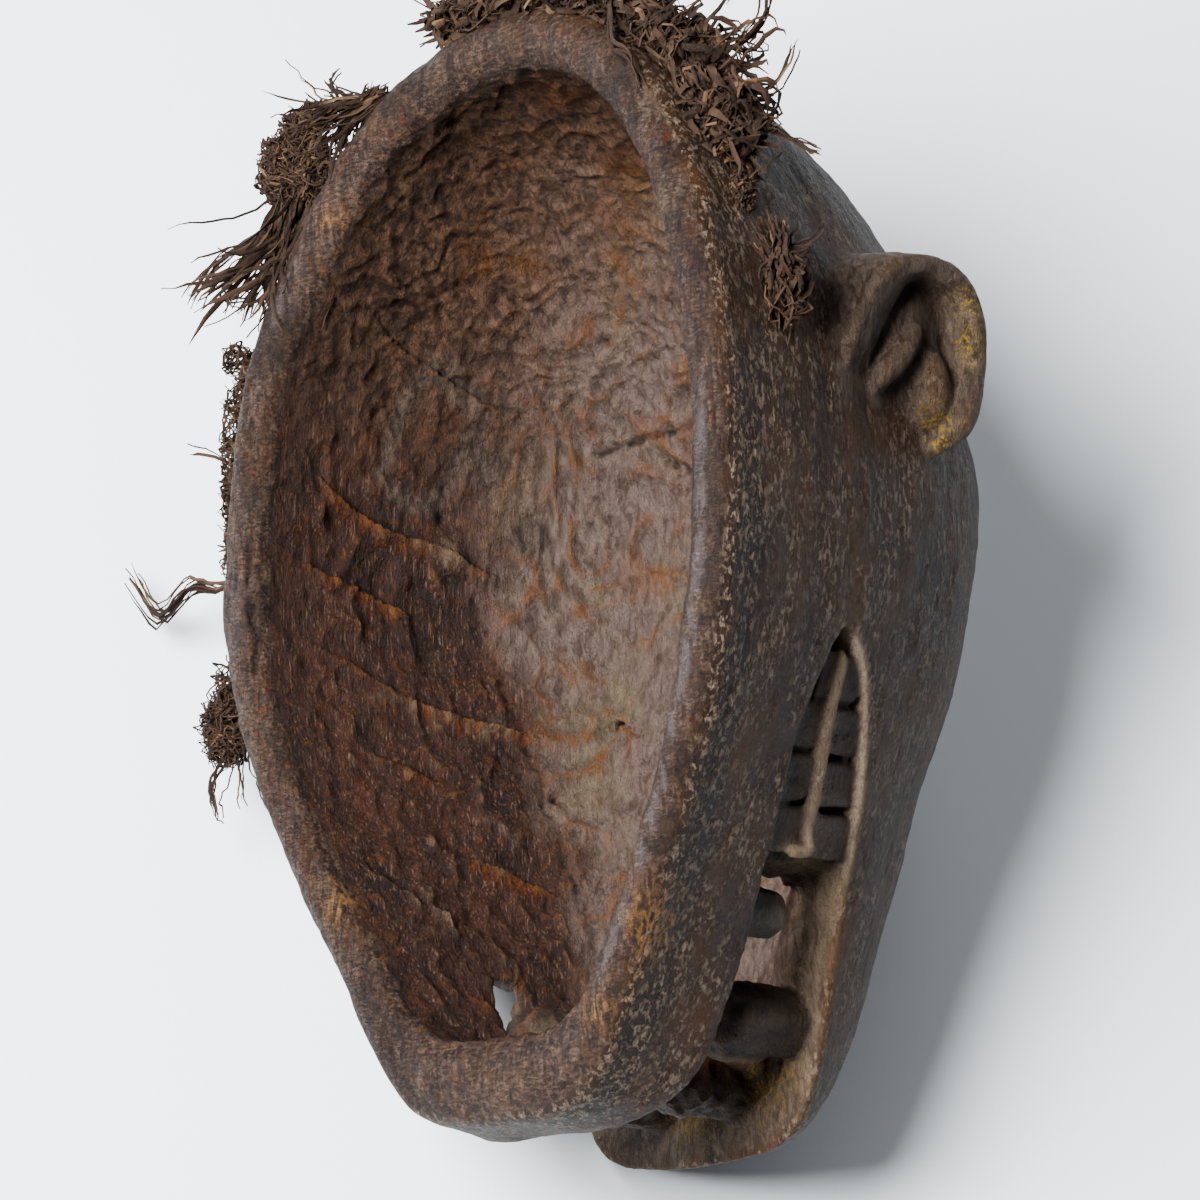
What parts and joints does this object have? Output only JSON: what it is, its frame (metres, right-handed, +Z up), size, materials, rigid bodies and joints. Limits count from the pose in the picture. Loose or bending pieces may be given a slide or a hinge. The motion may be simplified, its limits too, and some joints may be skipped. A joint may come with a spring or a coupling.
{
  "type": "animal mask",
  "caption": "Hollow carved wooden mask of a hyena's head with open toothed jaws, cupped ears and remains of a bast fringe, lying on its face.",
  "frame": {"origin": "centre of the bounding box's footprint, on the surface that the mask lies on", "axes": "+Z up as the mask lies on its face and left cheek; +Y from chin to crown; the open back faces -X and up"},
  "size_m": [0.253, 0.3672, 0.2411],
  "materials": {
    "carved_wood": "dark worn patina, rough gouge marks inside",
    "bast_fibre": "dry matted plant fibre"
  },
  "bodies": {
    "root": {"mask_body": "carved_wood", "fibre_crown": "bast_fibre", "fibre_right_knot": "bast_fibre", "fibre_left_tuft": "bast_fibre", "fibre_left_strands": "bast_fibre", "fibre_left_low_tuft": "bast_fibre"}
  },
  "joints": []
}
